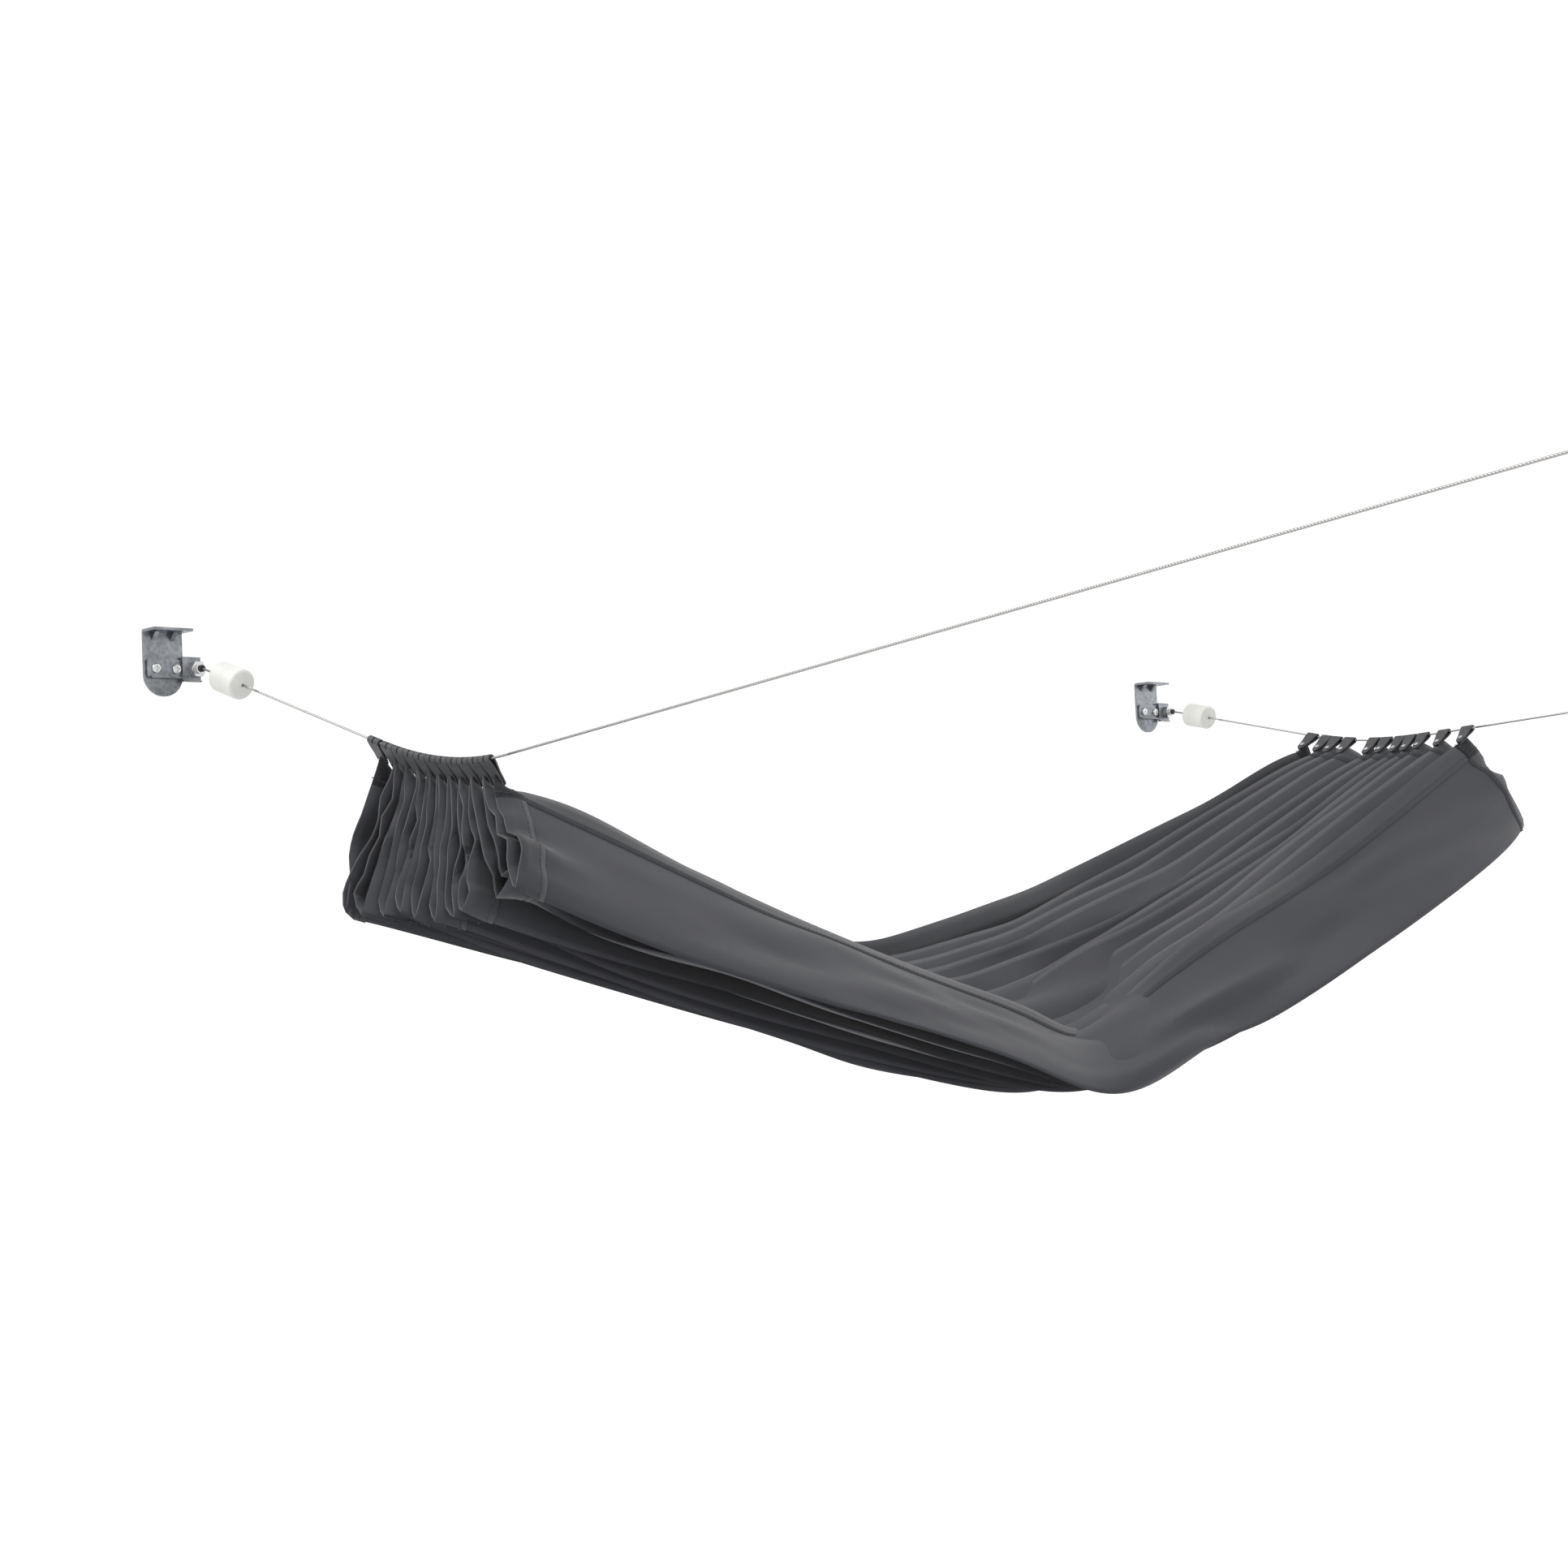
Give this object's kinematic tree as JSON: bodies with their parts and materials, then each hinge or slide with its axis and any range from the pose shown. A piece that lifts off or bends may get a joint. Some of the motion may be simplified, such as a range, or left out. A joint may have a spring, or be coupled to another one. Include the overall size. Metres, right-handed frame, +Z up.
{
  "type": "ceiling mounted shade sail on wires",
  "caption": "Charcoal shade sail gathered in pleats on runner hooks under two taut wires, with zinc ceiling brackets, tension nuts and soft bumpers at the wire ends",
  "frame": {"origin": "in the ceiling plane, midway between the wires and midway between their ends", "axes": "+Z up to the ceiling, +Y along the wires towards the end where the sail is gathered, +X across the wires"},
  "size_m": [1.42, 1.783, 0.4541],
  "materials": {
    "zinc": "bright zinc plated sheet",
    "screw_steel": "zinc plated",
    "stud_steel": "zinc plated thread",
    "nut_steel": "zinc plated",
    "black_plastic": "matt",
    "milky_plastic": "translucent, milky white",
    "wire_steel": "stranded steel wire",
    "runner_plastic": "moulded, dark grey",
    "rivet_steel": "bright",
    "sail_fabric": "woven polyester, charcoal",
    "hem_fabric": "folded and stitched, charcoal"
  },
  "bodies": {
    "frame": {"bracket_near_left": "zinc", "tension_plate_near_left": "zinc", "plate_screws_near_left": "screw_steel", "bracket_far_left": "zinc", "tension_plate_far_left": "zinc", "plate_screws_far_left": "screw_steel", "bracket_near_right": "zinc", "tension_plate_near_right": "zinc", "plate_screws_near_right": "screw_steel", "bracket_far_right": "zinc", "tension_plate_far_right": "zinc", "plate_screws_far_right": "screw_steel", "wire_left": "wire_steel", "wire_right": "wire_steel"},
    "nut_near_left": {"tension_nut_near_left": "nut_steel"},
    "stud_near_left": {"tension_stud_near_left": "stud_steel", "stud_sleeve_near_left": "black_plastic"},
    "bumper_near_left": {"bumper_near_left": "milky_plastic"},
    "nut_far_left": {"tension_nut_far_left": "nut_steel"},
    "stud_far_left": {"tension_stud_far_left": "stud_steel", "stud_sleeve_far_left": "black_plastic"},
    "bumper_far_left": {"bumper_far_left": "milky_plastic"},
    "nut_near_right": {"tension_nut_near_right": "nut_steel"},
    "stud_near_right": {"tension_stud_near_right": "stud_steel", "stud_sleeve_near_right": "black_plastic"},
    "bumper_near_right": {"bumper_near_right": "milky_plastic"},
    "nut_far_right": {"tension_nut_far_right": "nut_steel"},
    "stud_far_right": {"tension_stud_far_right": "stud_steel", "stud_sleeve_far_right": "black_plastic"},
    "bumper_far_right": {"bumper_far_right": "milky_plastic"},
    "sail": {"runner_left_01": "runner_plastic", "runner_left_02": "runner_plastic", "runner_left_03": "runner_plastic", "runner_left_04": "runner_plastic", "runner_left_05": "runner_plastic", "runner_left_06": "runner_plastic", "runner_left_07": "runner_plastic", "runner_left_08": "runner_plastic", "runner_left_09": "runner_plastic", "runner_left_10": "runner_plastic", "runner_left_11": "runner_plastic", "runner_right_01": "runner_plastic", "runner_right_02": "runner_plastic", "runner_right_03": "runner_plastic", "runner_right_04": "runner_plastic", "runner_right_05": "runner_plastic", "runner_right_06": "runner_plastic", "runner_right_07": "runner_plastic", "runner_right_08": "runner_plastic", "runner_right_09": "runner_plastic", "runner_right_10": "runner_plastic", "runner_right_11": "runner_plastic", "runner_rivets": "rivet_steel", "sail_cloth": "sail_fabric", "end_hem_near": "hem_fabric", "end_hem_far": "hem_fabric"}
  },
  "joints": [
    {"name": "nut_turn_near_left", "type": "hinge", "parent": "frame", "child": "nut_near_left", "pos_m": [-0.66, 0.8772, -0.034], "axis": [0, 1, 0], "range_deg": [0, 1080]},
    {"name": "stud_pull_near_left", "type": "slide", "parent": "frame", "child": "stud_near_left", "axis": [0, 1, 0], "range_m": [0, 0.00375]},
    {"name": "bumper_slide_near_left", "type": "slide", "parent": "frame", "child": "bumper_near_left", "axis": [0.1173, -0.9293, -0.3501], "range_m": [-0.024, 0.12]},
    {"name": "nut_turn_far_left", "type": "hinge", "parent": "frame", "child": "nut_far_left", "pos_m": [-0.66, -0.8772, -0.034], "axis": [0, -1, 0], "range_deg": [0, 1080]},
    {"name": "stud_pull_far_left", "type": "slide", "parent": "frame", "child": "stud_far_left", "axis": [0, -1, 0], "range_m": [0, 0.00375]},
    {"name": "bumper_slide_far_left", "type": "slide", "parent": "frame", "child": "bumper_far_left", "axis": [0.0265, 0.9965, -0.0792], "range_m": [-0.024, 0.12]},
    {"name": "nut_turn_near_right", "type": "hinge", "parent": "frame", "child": "nut_near_right", "pos_m": [0.66, 0.8772, -0.034], "axis": [0, 1, 0], "range_deg": [0, 1080]},
    {"name": "stud_pull_near_right", "type": "slide", "parent": "frame", "child": "stud_near_right", "axis": [0, 1, 0], "range_m": [0, 0.00375]},
    {"name": "bumper_slide_near_right", "type": "slide", "parent": "frame", "child": "bumper_near_right", "axis": [-0.0746, -0.972, -0.2228], "range_m": [-0.024, 0.12]},
    {"name": "nut_turn_far_right", "type": "hinge", "parent": "frame", "child": "nut_far_right", "pos_m": [0.66, -0.8772, -0.034], "axis": [0, -1, 0], "range_deg": [0, 1080]},
    {"name": "stud_pull_far_right", "type": "slide", "parent": "frame", "child": "stud_far_right", "axis": [0, -1, 0], "range_m": [0, 0.00375]},
    {"name": "bumper_slide_far_right", "type": "slide", "parent": "frame", "child": "bumper_far_right", "axis": [-0.0151, 0.9989, -0.0451], "range_m": [-0.024, 0.12]},
    {"name": "sail_travel", "type": "slide", "parent": "frame", "child": "sail", "axis": [0, -1, 0], "range_m": [0, 1.1], "deforming": ["wire_left", "wire_right"]}
  ],
  "couplings": [
    {"joint": "nut_turn_near_left", "follows": "stud_pull_near_left", "rad_per_m": 5026.5},
    {"joint": "nut_turn_far_left", "follows": "stud_pull_far_left", "rad_per_m": 5026.5},
    {"joint": "nut_turn_near_right", "follows": "stud_pull_near_right", "rad_per_m": 5026.5},
    {"joint": "nut_turn_far_right", "follows": "stud_pull_far_right", "rad_per_m": 5026.5}
  ]
}
